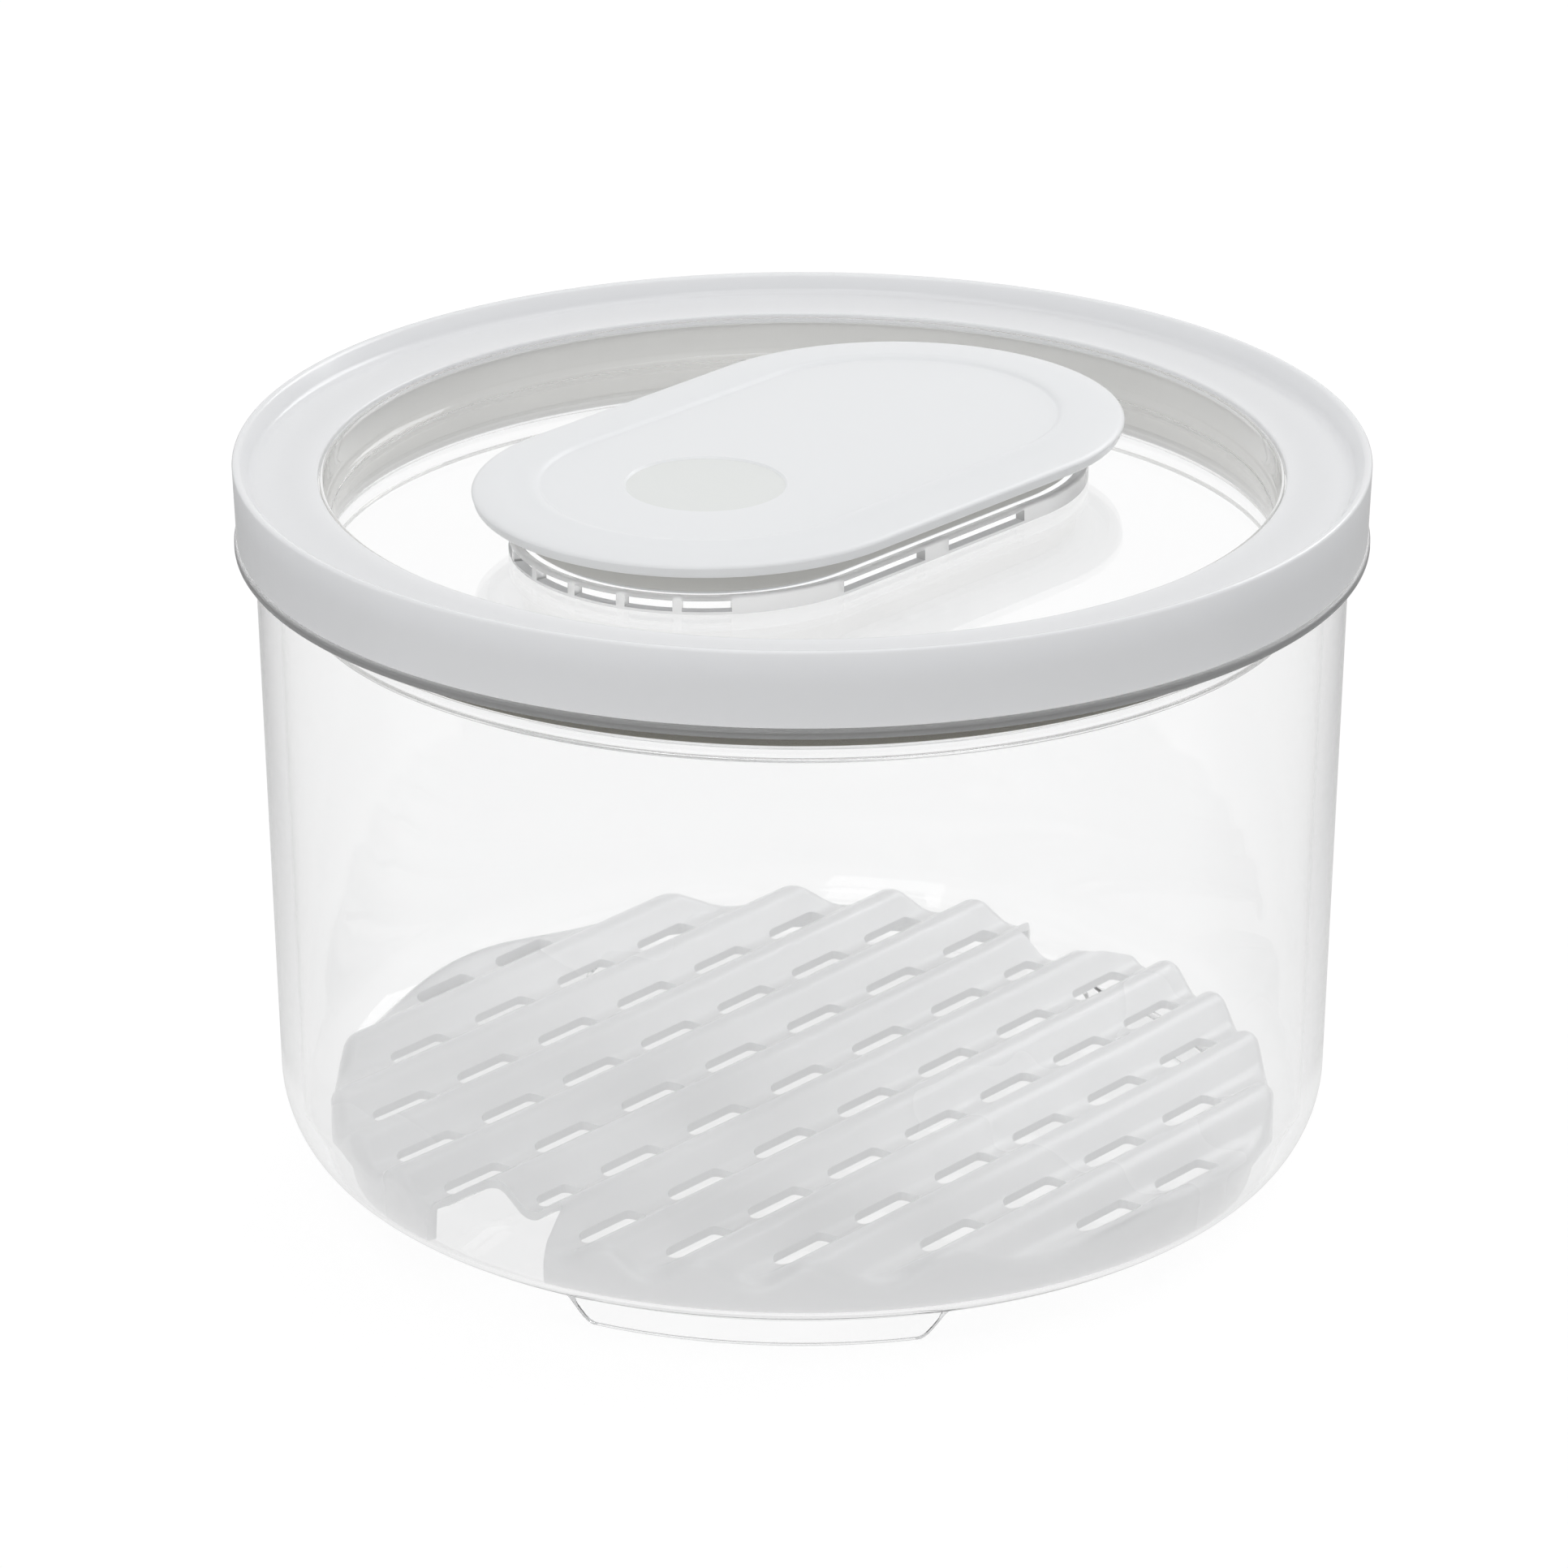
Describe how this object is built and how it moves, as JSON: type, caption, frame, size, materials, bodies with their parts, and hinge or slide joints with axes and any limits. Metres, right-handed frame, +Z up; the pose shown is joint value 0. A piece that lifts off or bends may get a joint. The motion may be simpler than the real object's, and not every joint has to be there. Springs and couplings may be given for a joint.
{
  "type": "produce storage bowl",
  "caption": "Clear round produce storage bowl with a corrugated white drain tray, a white-ringed clear lid and a raised oblong push-down vent",
  "frame": {"origin": "centre of the foot, on the table", "axes": "+Z up, +X along the vent away from its bare disc, +Y to the left of +X"},
  "size_m": [0.245, 0.245, 0.1665],
  "materials": {
    "clear_plastic": "clear",
    "white_plastic": "satin",
    "grey_silicone": "matte"
  },
  "bodies": {
    "base": {"bowl": "clear_plastic"},
    "tray": {"drain_tray": "white_plastic"},
    "lid": {"lid_well": "clear_plastic", "lid_ring": "white_plastic", "lid_seal": "grey_silicone"},
    "vent": {"vent_cap": "white_plastic", "vent_seal": "grey_silicone"}
  },
  "joints": [
    {"name": "lid_lift", "type": "slide", "parent": "base", "child": "lid", "axis": [0, 0, 1], "range_m": [0, 0.06]},
    {"name": "vent_slide", "type": "slide", "parent": "lid", "child": "vent", "axis": [0, 0, 1], "range_m": [-0.0063, 0]},
    {"name": "tray_lift", "type": "slide", "parent": "base", "child": "tray", "axis": [0, 0, 1], "range_m": [0, 0.105]}
  ]
}
